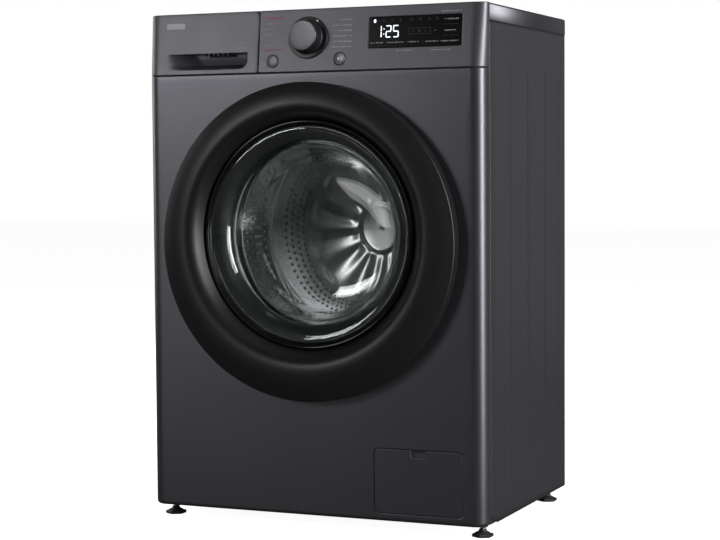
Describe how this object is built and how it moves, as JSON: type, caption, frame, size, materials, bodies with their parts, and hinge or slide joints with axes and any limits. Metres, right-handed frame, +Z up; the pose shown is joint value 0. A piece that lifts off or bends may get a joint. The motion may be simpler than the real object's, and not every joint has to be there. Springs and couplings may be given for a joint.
{
  "type": "front load washing machine",
  "caption": "Slim front load washing machine with a round glass door, detergent drawer, programme knob, display, service hatch, sprung tub and direct-drive drum.",
  "frame": {"origin": "centre of the machine's bounding box, on the floor under the feet", "axes": "+Z up, +X to the right of a person facing the door, +Y towards the back"},
  "size_m": [0.6, 0.475, 0.85],
  "materials": {
    "grey_paint": "satin metallic dark grey paint with fine flake",
    "grey_moulding": "satin metallic dark grey moulding",
    "zinc_sheet": "galvanised sheet and zinc casting",
    "black_satin": "satin black moulding",
    "black_gloss": "gloss black window",
    "black_plastic": "matt black moulding",
    "pale_plastic": "pale grey glass-filled moulding",
    "door_glass": "clear pressed glass",
    "stainless": "bright stainless steel",
    "aluminium": "die-cast aluminium",
    "concrete": "cast concrete",
    "grey_rubber": "grey rubber",
    "black_rubber": "black rubber",
    "winding": "copper winding on laminated poles",
    "circuit_board": "green circuit board",
    "bright_steel": "ground and plated steel"
  },
  "bodies": {
    "cabinet": {"front_panel": "grey_paint", "left_side_panel": "grey_paint", "right_side_panel": "grey_paint", "rear_panel": "zinc_sheet", "rear_cover": "zinc_sheet", "base_pan": "black_plastic", "top_cover": "grey_paint", "cross_brace": "zinc_sheet", "control_board": "circuit_board", "dispenser_housing": "pale_plastic", "inlet_valve": "pale_plastic", "fill_hose": "black_rubber", "sump_hose": "black_rubber", "drain_pump": "pale_plastic", "drain_hose": "grey_rubber", "drain_outlet": "black_plastic", "mains_gland": "black_plastic", "left_spring": "bright_steel", "right_spring": "bright_steel", "left_damper_body": "black_plastic", "right_damper_body": "black_plastic", "console_panel": "grey_moulding", "display_window": "black_gloss", "hinge_bracket": "zinc_sheet", "hinge_pin": "bright_steel", "door_lock": "black_plastic", "door_gasket": "grey_rubber"},
    "tub": {"tub_front": "pale_plastic", "tub_rear": "pale_plastic", "upper_counterweight": "concrete", "lower_counterweight": "concrete", "heater": "bright_steel", "front_bearing": "bright_steel", "rear_bearing": "bright_steel", "motor_stator": "winding", "left_damper_rod": "pale_plastic", "right_damper_rod": "pale_plastic"},
    "drum": {"drum_shell": "stainless", "lifter_1": "pale_plastic", "lifter_2": "pale_plastic", "lifter_3": "pale_plastic", "drum_spider": "aluminium", "drum_shaft": "bright_steel", "motor_rotor": "zinc_sheet"},
    "door": {"door_ring": "black_satin", "door_frame": "black_plastic", "door_glass": "door_glass"},
    "latch": {"latch_hook": "zinc_sheet"},
    "drawer": {"drawer_front": "grey_moulding", "drawer_tray": "pale_plastic", "softener_cap": "pale_plastic"},
    "knob": {"program_knob": "black_satin"},
    "power_key": {"power_button": "grey_moulding"},
    "start_key": {"start_button": "grey_moulding"},
    "hatch": {"service_hatch": "grey_moulding"},
    "filter": {"pump_filter": "black_plastic"},
    "front_left_foot": {"foot_1": "black_plastic"},
    "front_right_foot": {"foot_2": "black_plastic"},
    "rear_left_foot": {"foot_3": "black_plastic"},
    "rear_right_foot": {"foot_4": "black_plastic"}
  },
  "joints": [
    {"name": "tub_suspension", "type": "slide", "parent": "cabinet", "child": "tub", "axis": [0, 0, 1], "range_m": [-0.01, 0.01], "stiffness_N_per_m": 14000, "springref_m": 0.01224, "deforming": ["left_spring", "right_spring", "door_gasket", "fill_hose", "sump_hose"]},
    {"name": "drum_spin", "type": "hinge", "parent": "tub", "child": "drum", "pos_m": [0, 0, 0.484], "axis": [0, 1, 0], "continuous": true},
    {"name": "door_hinge", "type": "hinge", "parent": "cabinet", "child": "door", "pos_m": [-0.247, -0.222, 0.4715], "axis": [0, 0, -1], "range_deg": [0, 120]},
    {"name": "latch_pivot", "type": "hinge", "parent": "door", "child": "latch", "pos_m": [0.222, -0.2145, 0.4715], "axis": [0, 0, 1], "range_deg": [0, 8], "stiffness_Nm_per_rad": 0.5},
    {"name": "drawer_slide", "type": "slide", "parent": "cabinet", "child": "drawer", "axis": [0, -1, 0], "range_m": [0, 0.2]},
    {"name": "knob_turn", "type": "hinge", "parent": "cabinet", "child": "knob", "pos_m": [-0.0034, -0.19603, 0.803], "axis": [0, 0.9932, -0.1168], "continuous": true},
    {"name": "power_press", "type": "slide", "parent": "cabinet", "child": "power_key", "axis": [0, 0.9932, -0.1168], "range_m": [0, 0.0015], "stiffness_N_per_m": 900},
    {"name": "start_press", "type": "slide", "parent": "cabinet", "child": "start_key", "axis": [0, 0.9932, -0.1168], "range_m": [0, 0.0015], "stiffness_N_per_m": 900},
    {"name": "hatch_hinge", "type": "hinge", "parent": "cabinet", "child": "hatch", "pos_m": [0.1865, -0.2021, 0.0372], "axis": [1, 0, 0], "range_deg": [0, 90]},
    {"name": "filter_turn", "type": "hinge", "parent": "cabinet", "child": "filter", "pos_m": [0.186, -0.1825, 0.086], "axis": [0, 1, 0], "range_deg": [-90, 0]},
    {"name": "front_left_turn", "type": "hinge", "parent": "cabinet", "child": "front_left_foot", "pos_m": [-0.28, -0.1575, 0.011], "axis": [0, 0, 1], "continuous": true},
    {"name": "front_right_turn", "type": "hinge", "parent": "cabinet", "child": "front_right_foot", "pos_m": [0.28, -0.1575, 0.011], "axis": [0, 0, 1], "continuous": true},
    {"name": "rear_left_turn", "type": "hinge", "parent": "cabinet", "child": "rear_left_foot", "pos_m": [-0.28, 0.1815, 0.011], "axis": [0, 0, 1], "continuous": true},
    {"name": "rear_right_turn", "type": "hinge", "parent": "cabinet", "child": "rear_right_foot", "pos_m": [0.28, 0.1815, 0.011], "axis": [0, 0, 1], "continuous": true}
  ]
}
